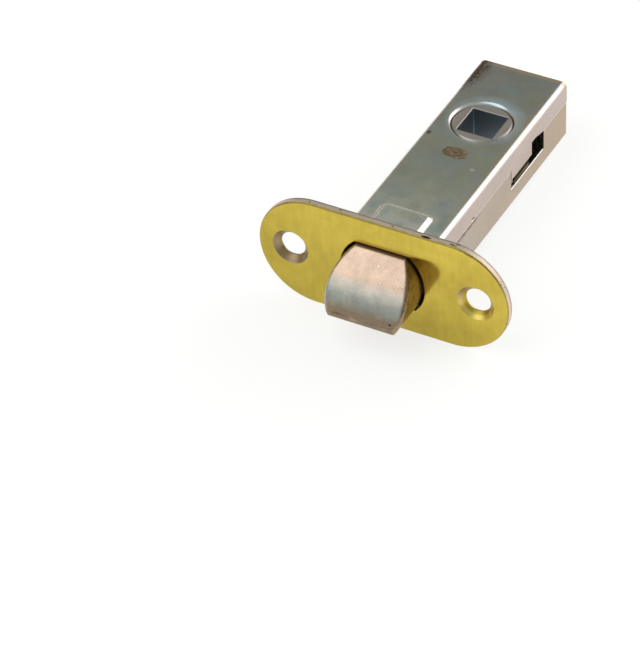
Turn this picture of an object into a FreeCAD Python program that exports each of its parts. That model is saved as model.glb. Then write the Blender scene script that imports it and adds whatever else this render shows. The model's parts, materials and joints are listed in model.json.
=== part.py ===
import FreeCAD, Part
import Sketcher
import math
import os
import re

# Tubular door latch: a box case of two folded steel shells behind a round-ended forend,
# a bevelled sprung bolt, and a follower that draws the bolt in through a sliding plate.
# Millimetres. X runs along the forend, Y goes back along the case, Z is the spindle's axis.
# The origin is the middle of the forend's front face.

doc = FreeCAD.newDocument("TubularLatch")
sheet = doc.addObject("Spreadsheet::Sheet", "Sizes")

SIZES = [
    ("forend_length", 56.2),
    ("forend_width", 25.3),
    ("forend_thickness", 1.6),
    ("forend_roll", 0.4),
    ("screw_edge", 7.25),
    ("screw_hole", 5.5),
    ("screw_sink", 8.1),
    ("opening_clear", 0.45),
    ("opening_over", 0.3),
    ("opening_under", 0.75),
    ("opening_corner", 0.6),
    ("opening_roll", 0.25),
    ("case_height", 14.4),
    ("sheet_gauge", 0.85),
    ("case_bend", 1.4),
    ("lower_inset", 0.1),
    ("seam_height", 2.2),
    ("seam_roll", 0.25),
    ("end_wall_clear", 0.1),
    ("hub_position", 45.8),
    ("hub_wall", 0.79),
    ("collar_depth", 1.3),
    ("collar_roll", 1.0),
    ("window_before", 6.9),
    ("window_behind", 8.8),
    ("window_low", 2.5),
    ("tongue_behind", 2.8),
    ("tongue_low", 0.1),
    ("notch_rise", 1.0),
    ("nick_position", 21.0),
    ("nick_radius", 0.8),
    ("emboss_front", 3.0),
    ("emboss_back", 13.1),
    ("emboss_width", 11.6),
    ("emboss_shift", 0.3),
    ("emboss_raise", 0.7),
    ("emboss_slope", 50.0),
    ("emboss_corner", 1.6),
    ("emboss_roll", 0.3),
    ("stake_length", 5.0),
    ("stake_width", 2.8),
    ("stake_shift", 0.4),
    ("bolt_side_clear", 0.22),
    ("bolt_drop", 0.8),
    ("bolt_top_clear", 0.15),
    ("bolt_low_clear", 0.45),
    ("bolt_reach", 10.1),
    ("bolt_back", 13.0),
    ("bolt_travel", 10.0),
    ("bevel_start", 0.6),
    ("nose_face", 1.3),
    ("bevel_radius", 23.0),
    ("bevel_blend", 1.5),
    ("rim_roll", 0.9),
    ("pull_wall", 1.5),
    ("pull_clear", 0.1),
    ("pull_rise", 1.7),
    ("slot_side_clear", 0.4),
    ("slot_end_clear", 0.2),
    ("pin_radius", 1.2),
    ("pin_grip", 4.0),
    ("pin_length", 15.5),
    ("pin_chamfer", 0.3),
    ("spring_wire", 0.8),
    ("spring_clear", 0.75),
    ("spring_turns", 8),
    ("bridge_ahead", 12.6),
    ("bridge_thickness", 1.6),
    ("bridge_clear", 0.35),
    ("bridge_corner", 1.2),
    ("bridge_hole", 1.6),
    ("bridge_tab", 4.4),
    ("bridge_tab_sunk", 0.3),
    ("plate_low_clear", 0.6),
    ("plate_side_clear", 0.2),
    ("plate_end_clear", 0.55),
    ("plate_gauge", 1.0),
    ("strip_width", 8.0),
    ("plate_ahead", 18.8),
    ("plate_behind", 8.5),
    ("plate_corner", 1.5),
    ("hub_slot_clear", 0.2),
    ("tongue_rise", 2.0),
    ("ear_length", 7.0),
    ("ear_rise", 0.7),
    ("ear_room", 1.1),
    ("spindle_square", 8.0),
    ("square_chamfer", 0.2),
    ("journal_clear", 0.08),
    ("journal_chamfer", 0.35),
    ("journal_sunk", 0.25),
    ("barrel_lip", 0.35),
    ("barrel_clear", 0.2),
    ("horn_beyond", 0.4),
    ("horn_tip", 1.4),
    ("horn_arm", 0.8),
    ("horn_angle", 32.5),
    ("horn_low", 2.2),
    ("horn_high", 0.4),
    ("horn_gap", 0.3),
]
for row, (name, size) in enumerate(SIZES, start=1):
    sheet.set("A%d" % row, name)
    sheet.set("B%d" % row, str(size))
    sheet.setAlias("B%d" % row, name)
doc.recompute()

# Sizes that follow from others. Across the case they are stacked from the spindle's square
# outwards, along it they are set off from the hub, and in height from the case's inside.
DERIVED = {
    "square_corner": "spindle_square / sqrt(2)",
    "collar_radius": "square_corner + hub_wall",
    "journal_radius": "collar_radius - journal_clear",
    "barrel_radius": "collar_radius + barrel_lip",
    "plate_half": "barrel_radius + ear_room + plate_gauge",
    "lower_half": "plate_half + plate_side_clear + sheet_gauge",
    "case_half": "lower_half + lower_inset",
    "bolt_radius": "case_half - sheet_gauge - bolt_side_clear",
    "opening_radius": "bolt_radius + opening_clear",
    "horn_reach": "plate_half + horn_beyond",
    "strip_half": "strip_width / 2",
    "channel_half": "strip_half + slot_side_clear",
    "round_half": "forend_width / 2",
    "round_middle": "forend_length / 2 - round_half",
    "screw_place": "forend_length / 2 - screw_edge",
    "window_front": "hub_position - window_before",
    "window_back": "hub_position + window_behind",
    "lip_back": "hub_position + tongue_behind",
    "bridge_front": "hub_position - bridge_ahead",
    "bridge_middle": "bridge_front + bridge_thickness / 2",
    "plate_front": "hub_position - plate_ahead",
    "plate_back": "hub_position + plate_behind",
    "case_end": "plate_back + bolt_travel + plate_end_clear + sheet_gauge",
    "emboss_left": "emboss_width / 2 + emboss_shift",
    "emboss_right": "emboss_width / 2 - emboss_shift",
    "emboss_inset": "sheet_gauge * (1 - sin(emboss_slope * 1deg)) / cos(emboss_slope * 1deg)",
    "horn_side": "horn_reach * cos(horn_angle * 1deg)",
    "horn_fore": "horn_reach * sin(horn_angle * 1deg)",
    "horn_lean": "horn_arm * sin(horn_angle * 1deg)",
    "horn_spread": "horn_arm * cos(horn_angle * 1deg)",
    "ear_front": "hub_position - horn_fore + horn_tip + horn_gap",
    "pull_face": "bolt_back - pull_wall",
    "pull_back": "pull_face - pull_clear",
    "pull_front": "pull_back - plate_gauge",
    "slot_front": "pull_front - bolt_travel - slot_end_clear",
    "crown": "case_height / 2",
    "inside": "crown - sheet_gauge",
    "bolt_top": "inside - bolt_top_clear",
    "bolt_bottom": "inside - bolt_low_clear",
    "opening_top": "bolt_top + opening_over",
    "opening_bottom": "bolt_bottom + opening_under",
    "bevel_low": "bolt_bottom - nose_face",
    "plate_low": "inside - plate_low_clear",
    "spring_radius": "plate_low - plate_gauge - spring_clear - spring_wire / 2",
    "barrel_low": "plate_low - plate_gauge - barrel_clear",
    "barrel_high": "crown - collar_depth - barrel_clear",
    "bridge_low": "plate_low - plate_gauge - bridge_clear",
    "top_chord": "sqrt(opening_radius ^ 2 - (opening_top + bolt_drop) ^ 2)",
    "bottom_chord": "sqrt(opening_radius ^ 2 - (opening_bottom - bolt_drop) ^ 2)",
    "flat_top": "sqrt(bolt_radius ^ 2 - (bolt_top + bolt_drop) ^ 2)",
    "flat_low": "sqrt(bolt_radius ^ 2 - (bolt_bottom - bolt_drop) ^ 2)",
}
FOLLOWING = re.compile(r"\b(" + "|".join(DERIVED) + r")\b")
GIVEN = re.compile(r"\b(" + "|".join(name for name, size in SIZES) + r")\b")


def bound(expression):
    """Writes out the sizes that follow from others and points the rest at the sheet."""
    while FOLLOWING.search(expression):
        expression = FOLLOWING.sub(lambda found: "(%s)" % DERIVED[found.group(1)], expression)
    return GIVEN.sub(r"<<Sizes>>.\1", expression)


def number(expression):
    """The present value of an expression of size names."""
    found = sheet.evalExpression(bound(expression))
    return float(getattr(found, "Value", found))


def new_body(label):
    body = doc.addObject("PartDesign::Body", label)
    body.Label = label
    return body


def new_sketch(body, name, plane, offset="0"):
    """An empty sketch on a plane of the body, moved along that plane's normal."""
    sketch = body.newObject("Sketcher::SketchObject", name)
    base = [item for item in body.Origin.OriginFeatures if item.Role == plane][0]
    sketch.AttachmentSupport = (base, [""])
    sketch.MapMode = "FlatFace"
    sketch.setExpression("AttachmentOffset.Base.z", bound(offset))
    return sketch


def hold(sketch, kind, geometry, vertex, expression):
    """A distance from the sketch's origin to one vertex, bound to the sheet."""
    index = sketch.addConstraint(
        Sketcher.Constraint(kind, -1, 1, geometry, vertex, number(expression)))
    sketch.setExpression("Constraints[%d]" % index, bound(expression))


def outline(body, name, plane, path, offset="0"):
    """A closed outline. Each step is (x, y) or (x, y, radius, turn) where the edge that
    leaves the point is an arc of that radius turning left ("left") or right ("right")."""
    sketch = new_sketch(body, name, plane, offset)
    points = [FreeCAD.Vector(number(step[0]), number(step[1]), 0) for step in path]
    count = len(path)
    ends = []
    for index, step in enumerate(path):
        first, last = points[index], points[(index + 1) % count]
        if len(step) == 2:
            edge = sketch.addGeometry(Part.LineSegment(first, last), False)
            ends.append((edge, 1, 2))
            continue
        radius = number(step[2])
        chord = last - first
        side = 1.0 if step[3] == "left" else -1.0
        across = FreeCAD.Vector(-chord.y, chord.x, 0).normalize() * side
        rise = math.sqrt(max(radius ** 2 - (chord.Length / 2) ** 2, 0.0))
        centre = (first + last) * 0.5 + across * rise
        start, finish = (first, last) if step[3] == "left" else (last, first)
        angles = [math.atan2(p.y - centre.y, p.x - centre.x) for p in (start, finish)]
        if angles[1] < angles[0]:
            angles[1] += 2 * math.pi
        circle = Part.Circle(centre, FreeCAD.Vector(0, 0, 1), radius)
        edge = sketch.addGeometry(Part.ArcOfCircle(circle, angles[0], angles[1]), False)
        ends.append((edge, 1, 2) if step[3] == "left" else (edge, 2, 1))
    for index, (edge, start, finish) in enumerate(ends):
        following = ends[(index + 1) % count]
        sketch.addConstraint(
            Sketcher.Constraint("Coincident", edge, finish, following[0], following[1]))
    for (edge, start, finish), step in zip(ends, path):
        hold(sketch, "DistanceX", edge, start, step[0])
        hold(sketch, "DistanceY", edge, start, step[1])
        if len(step) > 2:
            index = sketch.addConstraint(
                Sketcher.Constraint("Radius", edge, number(step[2])))
            sketch.setExpression("Constraints[%d]" % index, bound(step[2]))
    return sketch


def rounds(body, name, plane, circles, offset="0"):
    """A sketch of full circles, each (x, y, radius)."""
    sketch = new_sketch(body, name, plane, offset)
    for x, y, radius in circles:
        centre = FreeCAD.Vector(number(x), number(y), 0)
        circle = Part.Circle(centre, FreeCAD.Vector(0, 0, 1), number(radius))
        edge = sketch.addGeometry(circle, False)
        hold(sketch, "DistanceX", edge, 3, x)
        hold(sketch, "DistanceY", edge, 3, y)
        index = sketch.addConstraint(Sketcher.Constraint("Radius", edge, number(radius)))
        sketch.setExpression("Constraints[%d]" % index, bound(radius))
    return sketch


def box_path(x_low, x_high, y_low, y_high):
    return [(x_low, y_low), (x_high, y_low), (x_high, y_high), (x_low, y_high)]


def slot_path(x_low, x_high, y_middle, radius):
    """A round-ended slot along x, from quarter arcs."""
    inner_low, inner_high = "%s + %s" % (x_low, radius), "%s - %s" % (x_high, radius)
    below, above = "%s - %s" % (y_middle, radius), "%s + %s" % (y_middle, radius)
    return [
        (inner_low, below), (inner_high, below, radius, "left"),
        (x_high, y_middle, radius, "left"), (inner_high, above),
        (inner_low, above, radius, "left"), (x_low, y_middle, radius, "left")]


def corner_path(x_low, x_high, y_low, y_high, radius):
    """A rectangle with rounded corners."""
    left, right = "%s + %s" % (x_low, radius), "%s - %s" % (x_high, radius)
    low, high = "%s + %s" % (y_low, radius), "%s - %s" % (y_high, radius)
    return [
        (left, y_low), (right, y_low, radius, "left"), (x_high, low),
        (x_high, high, radius, "left"), (right, y_high), (left, y_high, radius, "left"),
        (x_low, high), (x_low, low, radius, "left")]


def pad(body, sketch, length, reverse=False, slope="0"):
    """Adds a prism. Its sides lean inwards by the slope, in degrees."""
    feature = body.newObject("PartDesign::Pad", sketch.Name + "Pad")
    feature.Profile = sketch
    feature.Reversed = reverse
    feature.setExpression("Length", bound(length))
    feature.setExpression("TaperAngle", bound("-%s * 1deg" % slope))
    doc.recompute()
    return feature


def cut(body, sketch, length, reverse=False, slope="0"):
    """Takes a prism away. Its sides lean inwards by the slope, in degrees."""
    before = body.Shape.Volume
    feature = body.newObject("PartDesign::Pocket", sketch.Name + "Cut")
    feature.Profile = sketch
    feature.Reversed = reverse
    feature.setExpression("Length", bound(length))
    feature.setExpression("TaperAngle", bound("-%s * 1deg" % slope))
    doc.recompute()
    if not body.Shape.Volume < before - 1e-6:
        raise ValueError("%s removed nothing" % feature.Name)
    return feature


def dress(body, kind, name, size, wanted):
    """A fillet or chamfer on the edges of the body that answer a test."""
    tip = body.Tip
    names = ["Edge%d" % (index + 1) for index, edge in enumerate(tip.Shape.Edges)
             if wanted(edge)]
    if not names:
        raise ValueError("%s found no edge" % name)
    feature = body.newObject("PartDesign::" + kind, name)
    feature.Base = (tip, names)
    feature.setExpression("Radius" if kind == "Fillet" else "Size", bound(size))
    doc.recompute()
    return feature


def near(value, target, room=0.01):
    return abs(value - target) < room


def all_at(edge, axis, target):
    """Whether a whole edge lies in the plane where an axis has one value."""
    box = edge.BoundBox
    low, high = getattr(box, axis + "Min"), getattr(box, axis + "Max")
    return near(low, target) and near(high, target)


def along(edge, axis):
    """Whether an edge is a straight line along one axis."""
    box = edge.BoundBox
    spans = {"X": box.XLength, "Y": box.YLength, "Z": box.ZLength}
    wide = spans.pop(axis)
    return wide > 0.05 and max(spans.values()) < 0.01


# Forend: a blanked plate with full-radius ends, its front edge rolled over by the die.
forend = new_body("forend")
stadium = outline(forend, "ForendOutline", "XZ_Plane", [
    ("-round_middle", "-round_half"), ("round_middle", "-round_half", "round_half", "left"),
    ("forend_length / 2", "0", "round_half", "left"), ("round_middle", "round_half"),
    ("-round_middle", "round_half", "round_half", "left"),
    ("-forend_length / 2", "0", "round_half", "left")])
pad(forend, stadium, "forend_thickness", reverse=True)
opening = outline(forend, "BoltOpening", "XZ_Plane", [
    ("-bottom_chord", "-opening_bottom"),
    ("bottom_chord", "-opening_bottom", "opening_radius", "left"),
    ("top_chord", "opening_top"),
    ("-top_chord", "opening_top", "opening_radius", "left")])
cut(forend, opening, "forend_thickness")
dress(forend, "Fillet", "OpeningCorners", "opening_corner",
      lambda edge: along(edge, "Y") and abs(edge.BoundBox.XMin) < number("opening_radius"))
dress(forend, "Fillet", "OpeningRoll", "opening_roll",
      lambda edge: all_at(edge, "Y", 0)
      and max(abs(edge.BoundBox.XMin), abs(edge.BoundBox.XMax)) < number("opening_radius + 0.1")
      and edge.BoundBox.ZMax < number("opening_top + 0.1")
      and edge.BoundBox.ZMin > -number("opening_bottom + 0.1"))
dress(forend, "Fillet", "FrontRoll", "forend_roll",
      lambda edge: all_at(edge, "Y", 0)
      and max(abs(edge.BoundBox.ZMin), abs(edge.BoundBox.ZMax)) > number("round_half") - 0.01)
for side, sign in (("Left", "-"), ("Right", "")):
    middle = sign + "screw_place"
    profile = outline(forend, side + "ScrewSink", "XY_Plane", [
        (middle, "0"),
        (middle + " + screw_sink / 2", "0"),
        (middle + " + screw_hole / 2", "(screw_sink - screw_hole) / 2"),
        (middle + " + screw_hole / 2", "forend_thickness"),
        (middle, "forend_thickness")])
    before = forend.Shape.Volume
    groove = forend.newObject("PartDesign::Groove", side + "ScrewHole")
    groove.Profile = profile
    groove.ReferenceAxis = (profile, ["Edge5"])
    groove.Angle = 360
    doc.recompute()
    if not forend.Shape.Volume < before:
        raise ValueError("the screw hole removed nothing")


def channel_path(half, up):
    """The section of a folded channel: its crown, two bends and two sides."""
    sign = "" if up else "-"
    turns = ("right", "left") if up else ("left", "right")
    outer = sign + "crown"
    shoulder = sign + "(crown - case_bend)"
    inner = sign + "inside"
    inward = "(%s - sheet_gauge)" % half
    flat = "(%s - case_bend)" % half
    fold = "case_bend - sheet_gauge"
    return [
        ("-" + half, "seam_height"), ("-" + half, shoulder, "case_bend", turns[0]),
        ("-" + flat, outer), (flat, outer, "case_bend", turns[0]),
        (half, shoulder), (half, "seam_height"),
        (inward, "seam_height"), (inward, shoulder, fold, turns[1]),
        (flat, inner), ("-" + flat, inner, fold, turns[1]),
        ("-" + inward, shoulder), ("-" + inward, "seam_height")]


def hub_collar(body, name, up):
    """Turns the edge of the follower's hole inwards, with a rolled outer rim."""
    sign = "" if up else "-"
    skin = sign + "crown"
    ring = rounds(body, name + "Collar", "XY_Plane",
                  [("0", "hub_position", "collar_radius + sheet_gauge")],
                  offset=sign + "(crown - collar_depth)")
    pad(body, ring, "collar_depth - sheet_gauge / 2", reverse=not up)
    hole = rounds(body, name + "HubHole", "XY_Plane",
                  [("0", "hub_position", "collar_radius")], offset=skin)
    cut(body, hole, "collar_depth + sheet_gauge", reverse=not up)
    dress(body, "Fillet", name + "CollarRoll", "collar_roll",
          lambda edge: all_at(edge, "Z", number(skin))
          and near(edge.BoundBox.XLength, number("collar_radius * 2"), 0.05))


# Upper half of the case: a folded channel, open along the seam where the follower's
# horns swing, an embossed pad, a rolled collar and the oval hole of the stake.
upper = new_body("case_upper_shell")
channel = outline(upper, "UpperSection", "XZ_Plane", channel_path("case_half", True),
                  offset="-forend_thickness")
pad(upper, channel, "case_end - forend_thickness", reverse=True)
for side, low, high in (("Left", "-case_half", "sheet_gauge - case_half"),
                        ("Right", "case_half - sheet_gauge", "case_half")):
    lip = outline(upper, side + "Tongue", "XY_Plane",
                  box_path(low, high, "window_front", "lip_back"), offset="-tongue_low")
    pad(upper, lip, "seam_height + tongue_low + sheet_gauge")
notch = outline(upper, "HornNotch", "YZ_Plane", [
    ("lip_back", "seam_height - sheet_gauge"), ("window_back", "seam_height - sheet_gauge"),
    ("window_back", "seam_height"), ("lip_back + 2 * notch_rise", "seam_height + notch_rise"),
    ("lip_back", "seam_height + notch_rise")], offset="case_half * 2")
cut(upper, notch, "case_half * 4")
dress(upper, "Fillet", "UpperSeamRoll", "seam_roll",
      lambda edge: along(edge, "Y") and edge.BoundBox.ZMax < number("seam_height") + 0.01
      and near(max(abs(edge.BoundBox.XMin), abs(edge.BoundBox.XMax)), number("case_half")))
nick = rounds(upper, "SeamNick", "YZ_Plane", [("nick_position", "seam_height", "nick_radius")],
              offset="case_half * 2")
cut(upper, nick, "case_half * 4")
rise = outline(upper, "EmbossOuter", "XY_Plane",
               corner_path("-emboss_left", "emboss_right", "emboss_front", "emboss_back",
                           "emboss_corner"),
               offset="crown")
pad(upper, rise, "emboss_raise", slope="emboss_slope")
hollow = outline(upper, "EmbossInner", "XY_Plane",
                 corner_path("emboss_inset - emboss_left", "emboss_right - emboss_inset",
                             "emboss_front + emboss_inset", "emboss_back - emboss_inset",
                             "(emboss_corner - emboss_inset)"),
                 offset="inside")
cut(upper, hollow, "emboss_raise", reverse=True, slope="emboss_slope")
raised = number("crown + emboss_raise")
dress(upper, "Fillet", "EmbossRoll", "emboss_roll", lambda edge: all_at(edge, "Z", raised))
oval = outline(upper, "StakeHole", "XY_Plane",
               slot_path("-stake_length / 2 - stake_shift", "stake_length / 2 - stake_shift",
                         "bridge_middle", "stake_width / 2"),
               offset="crown")
cut(upper, oval, "sheet_gauge * 2")
hub_collar(upper, "Upper", True)

# Lower half: the same channel the other way up, set in a little, with the far end folded up.
lower = new_body("case_lower_shell")
channel = outline(lower, "LowerSection", "XZ_Plane", channel_path("lower_half", False),
                  offset="-forend_thickness")
pad(lower, channel, "case_end - forend_thickness", reverse=True)
wall = outline(lower, "EndWall", "XZ_Plane",
               box_path("case_bend - lower_half", "lower_half - case_bend",
                        "sheet_gauge / 2 - crown", "inside - end_wall_clear"),
               offset="sheet_gauge - case_end")
pad(lower, wall, "sheet_gauge", reverse=True)
fold = outline(lower, "EndFold", "YZ_Plane", [
    ("case_end - case_bend", "-crown", "case_bend", "left"),
    ("case_end", "case_bend - crown"), ("case_end + case_bend", "case_bend - crown"),
    ("case_end + case_bend", "-crown - case_bend"),
    ("case_end - case_bend", "-crown - case_bend")], offset="lower_half - case_bend")
cut(lower, fold, "2 * (lower_half - case_bend)")
window = outline(lower, "HornWindow", "YZ_Plane",
                 box_path("window_front", "window_back", "-window_low",
                          "seam_height + sheet_gauge"),
                 offset="case_half * 2")
cut(lower, window, "case_half * 4")
dress(lower, "Fillet", "LowerSeamRoll", "seam_roll",
      lambda edge: along(edge, "Y") and edge.BoundBox.ZMin > -number("window_low") - 0.01
      and near(max(abs(edge.BoundBox.XMin), abs(edge.BoundBox.XMax)), number("lower_half")))
hub_collar(lower, "Lower", False)

# Bolt: a barrel section with flats above and below, its upper side swept down to the nose.
bolt = new_body("latch_bolt")
section = outline(bolt, "BoltSection", "XZ_Plane", [
    ("-flat_low", "-bolt_bottom"), ("flat_low", "-bolt_bottom", "bolt_radius", "left"),
    ("flat_top", "bolt_top"), ("-flat_top", "bolt_top", "bolt_radius", "left")],
    offset="bolt_reach")
pad(bolt, section, "bolt_reach + bolt_back", reverse=True)
bevel = outline(bolt, "BoltBevel", "YZ_Plane", [
    ("-bevel_start", "bolt_top", "bevel_radius", "left"), ("-bolt_reach", "-bevel_low"),
    ("-bolt_reach - bevel_blend", "-bevel_low"),
    ("-bolt_reach - bevel_blend", "bolt_top + bevel_blend"),
    ("-bevel_start", "bolt_top + bevel_blend")], offset="bolt_radius * 2")
cut(bolt, bevel, "bolt_radius * 4")
dress(bolt, "Fillet", "BevelBlend", "bevel_blend",
      lambda edge: along(edge, "X") and near(edge.BoundBox.YMin, -number("bevel_start"))
      and near(edge.BoundBox.ZMin, number("bolt_top")))
dress(bolt, "Fillet", "RimRoll", "rim_roll",
      lambda edge: isinstance(edge.Curve, Part.BSplineCurve)
      or all_at(edge, "Y", -number("bolt_reach")))
under = outline(bolt, "StripChannel", "XY_Plane",
                box_path("-channel_half", "channel_half", "slot_front", "bolt_back"),
                offset="-bolt_bottom")
cut(bolt, under, "bolt_bottom - plate_low + plate_gauge + slot_end_clear", reverse=True)
pull = outline(bolt, "PullSlot", "XY_Plane",
               box_path("-channel_half", "channel_half", "slot_front", "pull_face"),
               offset="-bolt_bottom")
cut(bolt, pull, "bolt_bottom - pull_rise", reverse=True)
bore = rounds(bolt, "PinBore", "XZ_Plane", [("0", "0", "pin_radius")], offset="-bolt_back")
cut(bolt, bore, "pin_grip", reverse=True)

# Guide pin: pressed into the back of the bolt, it keeps the spring from bowing.
pin = new_body("guide_pin")
stem = rounds(pin, "PinSection", "XZ_Plane", [("0", "0", "pin_radius")],
              offset="pin_grip - bolt_back")
pad(pin, stem, "pin_length", reverse=True)
dress(pin, "Chamfer", "PinEnd", "pin_chamfer",
      lambda edge: all_at(edge, "Y", number("bolt_back - pin_grip + pin_length")))

# Bolt spring: a round-wire coil between the back of the bolt and the bridge.
spring = new_body("bolt_spring")
wire = rounds(spring, "WireSection", "XY_Plane",
              [("spring_radius", "bolt_back + spring_wire / 2", "spring_wire / 2")])
coil = spring.newObject("PartDesign::AdditiveHelix", "Coil")
coil.Profile = wire
coil.ReferenceAxis = (wire, ["V_Axis"])
coil.Mode = 2
coil.setExpression("Height", bound("bridge_front - bolt_back - spring_wire"))
coil.setExpression("Turns", bound("spring_turns"))
coil.Angle = 0
coil.Growth = 0
doc.recompute()

# Bridge: the plate across the case that the spring pushes against, staked into the top.
bridge = new_body("spring_bridge")
plate = outline(bridge, "BridgeOutline", "XZ_Plane", [
    ("sheet_gauge - lower_half", "-bridge_low"), ("lower_half - sheet_gauge", "-bridge_low"),
    ("lower_half - sheet_gauge", "inside - bridge_corner"),
    ("lower_half - sheet_gauge - bridge_corner", "inside"),
    ("bridge_corner + sheet_gauge - lower_half", "inside"),
    ("sheet_gauge - lower_half", "inside - bridge_corner")],
    offset="-bridge_front")
pad(bridge, plate, "bridge_thickness", reverse=True)
tab = outline(bridge, "StakeTab", "XY_Plane",
              slot_path("-bridge_tab / 2 - stake_shift", "bridge_tab / 2 - stake_shift",
                        "bridge_middle", "bridge_thickness / 2"),
              offset="inside - bridge_corner")
pad(bridge, tab, "sheet_gauge + bridge_corner - bridge_tab_sunk")
guide = rounds(bridge, "PinPassage", "XZ_Plane", [("0", "0", "bridge_hole")],
               offset="-bridge_front")
cut(bridge, guide, "bridge_thickness")

# Retractor: a folded plate that slides under the follower. Its two ears stand behind the
# follower's horns and its front tongue stands in the slot under the bolt.
retractor = new_body("retractor")
blank = outline(retractor, "RetractorBlank", "XY_Plane", [
    ("-strip_half", "pull_front"), ("strip_half", "pull_front"),
    ("strip_half", "plate_front"), ("plate_half", "plate_front + plate_corner"),
    ("plate_half", "plate_back - plate_corner"), ("plate_half - plate_corner", "plate_back"),
    ("plate_corner - plate_half", "plate_back"), ("-plate_half", "plate_back - plate_corner"),
    ("-plate_half", "plate_front + plate_corner"), ("-strip_half", "plate_front")],
    offset="-plate_low")
pad(retractor, blank, "plate_gauge")
clear = "(collar_radius + hub_slot_clear)"
slot = outline(retractor, "HubSlot", "XY_Plane", [
    (clear, "hub_position - bolt_travel"), (clear, "hub_position", clear, "left"),
    ("0", "hub_position + " + clear, clear, "left"), ("-" + clear, "hub_position"),
    ("-" + clear, "hub_position - bolt_travel", clear, "left"),
    ("0", "hub_position - bolt_travel - " + clear, clear, "left")], offset="-plate_low")
cut(retractor, slot, "plate_gauge", reverse=True)
tongue = outline(retractor, "PullTongue", "XY_Plane",
                 box_path("-strip_half", "strip_half", "pull_front", "pull_back"),
                 offset="-plate_low")
pad(retractor, tongue, "plate_low - tongue_rise")
for side, low, high in (("Left", "-plate_half", "plate_gauge - plate_half"),
                        ("Right", "plate_half - plate_gauge", "plate_half")):
    ear = outline(retractor, side + "Ear", "XY_Plane",
                  box_path(low, high, "ear_front", "ear_front + ear_length"),
                  offset="-plate_low")
    pad(retractor, ear, "plate_low - ear_rise")

# Follower: the spindle turns it in the two collars; its horns draw the retractor back.
follower = new_body("follower")
journal = rounds(follower, "Journal", "XY_Plane", [("0", "hub_position", "journal_radius")],
                 offset="journal_sunk - crown")
pad(follower, journal, "case_height - 2 * journal_sunk")
dress(follower, "Chamfer", "JournalLead", "journal_chamfer",
      lambda edge: near(edge.BoundBox.ZLength, 0) and near(
          edge.BoundBox.XLength, number("2 * journal_radius"), 0.05))
barrel = rounds(follower, "Barrel", "XY_Plane", [("0", "hub_position", "barrel_radius")],
                offset="-barrel_low")
pad(follower, barrel, "barrel_low + barrel_high")
for side, sign, other in (("Left", "-", "+"), ("Right", "+", "-")):
    arm = outline(follower, side + "HornArm", "XY_Plane", [
        ("0 %s horn_lean" % other, "hub_position - horn_spread"),
        ("0 %s horn_side %s horn_lean" % (sign, other), "hub_position - horn_fore - horn_spread"),
        ("0 %s horn_side %s horn_lean" % (sign, sign), "hub_position - horn_fore + horn_spread"),
        ("0 %s horn_lean" % sign, "hub_position + horn_spread")], offset="-horn_low")
    pad(follower, arm, "horn_low - horn_high")
    tip = rounds(follower, side + "HornTip", "XY_Plane",
                 [("0 %s horn_side" % sign, "hub_position - horn_fore", "horn_tip")],
                 offset="-horn_low")
    pad(follower, tip, "horn_low - horn_high")
square = outline(follower, "SpindleSquare", "XY_Plane",
                 box_path("-spindle_square / 2", "spindle_square / 2",
                          "hub_position - spindle_square / 2",
                          "hub_position + spindle_square / 2"),
                 offset="crown")
cut(follower, square, "case_height")
face = number("crown - journal_sunk")
dress(follower, "Chamfer", "SquareLead", "square_chamfer",
      lambda edge: (all_at(edge, "Z", face) or all_at(edge, "Z", -face))
      and (along(edge, "X") or along(edge, "Y")))

parts = [forend, upper, lower, bolt, pin, spring, bridge, retractor, follower]
for item in doc.Objects:
    if "Invalid" in item.State or "Error" in item.State:
        raise ValueError("%s is %s" % (item.Name, item.State))
os.makedirs("parts", exist_ok=True)
for item in parts:
    if item.Shape.isNull() or not item.Shape.isValid():
        raise ValueError("%s has no valid shape" % item.Label)
    item.Shape.exportStep("parts/%s.step" % item.Label)
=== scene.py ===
import json
import math

import bmesh
import bpy
from bpy.props import FloatProperty, FloatVectorProperty, PointerProperty
from mathutils import Matrix, Vector


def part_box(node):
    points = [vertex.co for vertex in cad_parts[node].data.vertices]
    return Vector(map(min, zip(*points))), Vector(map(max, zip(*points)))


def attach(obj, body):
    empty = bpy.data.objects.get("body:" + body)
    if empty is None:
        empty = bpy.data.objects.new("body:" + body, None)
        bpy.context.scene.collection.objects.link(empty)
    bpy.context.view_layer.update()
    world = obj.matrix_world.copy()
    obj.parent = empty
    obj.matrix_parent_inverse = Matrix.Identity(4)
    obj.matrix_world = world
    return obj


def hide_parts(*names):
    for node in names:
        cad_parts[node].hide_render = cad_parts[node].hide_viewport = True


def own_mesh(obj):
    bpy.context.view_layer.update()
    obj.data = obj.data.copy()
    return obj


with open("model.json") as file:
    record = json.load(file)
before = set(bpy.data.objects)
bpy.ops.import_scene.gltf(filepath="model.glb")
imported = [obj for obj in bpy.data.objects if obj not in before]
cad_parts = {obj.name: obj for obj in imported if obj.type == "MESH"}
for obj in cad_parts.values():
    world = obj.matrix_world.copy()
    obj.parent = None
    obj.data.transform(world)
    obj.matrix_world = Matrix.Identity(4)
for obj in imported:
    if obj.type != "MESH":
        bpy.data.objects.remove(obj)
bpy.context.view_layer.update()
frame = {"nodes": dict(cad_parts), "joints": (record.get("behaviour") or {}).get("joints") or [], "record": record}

bl_info = {
    "name": "Tubular latch",
    "version": (1, 0, 0),
    "blender": (4, 5, 0),
    "location": "3D View > Sidebar > Latch",
    "description": "Finishes, small pieces and studio of a tubular door latch",
    "category": "Object",
}

MM = 0.001


def colour(code):
    """Turns an sRGB hex value into the linear colour that shaders take."""
    levels = [int(code[place:place + 2], 16) / 255 for place in (1, 3, 5)]
    return [c / 12.92 if c <= 0.04045 else ((c + 0.055) / 1.055) ** 2.4 for c in levels]


def size(node, axis):
    """A CAD node's lowest and highest place along one axis, in millimetres."""
    low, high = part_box(node)
    return low[axis] / MM, high[axis] / MM


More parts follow.
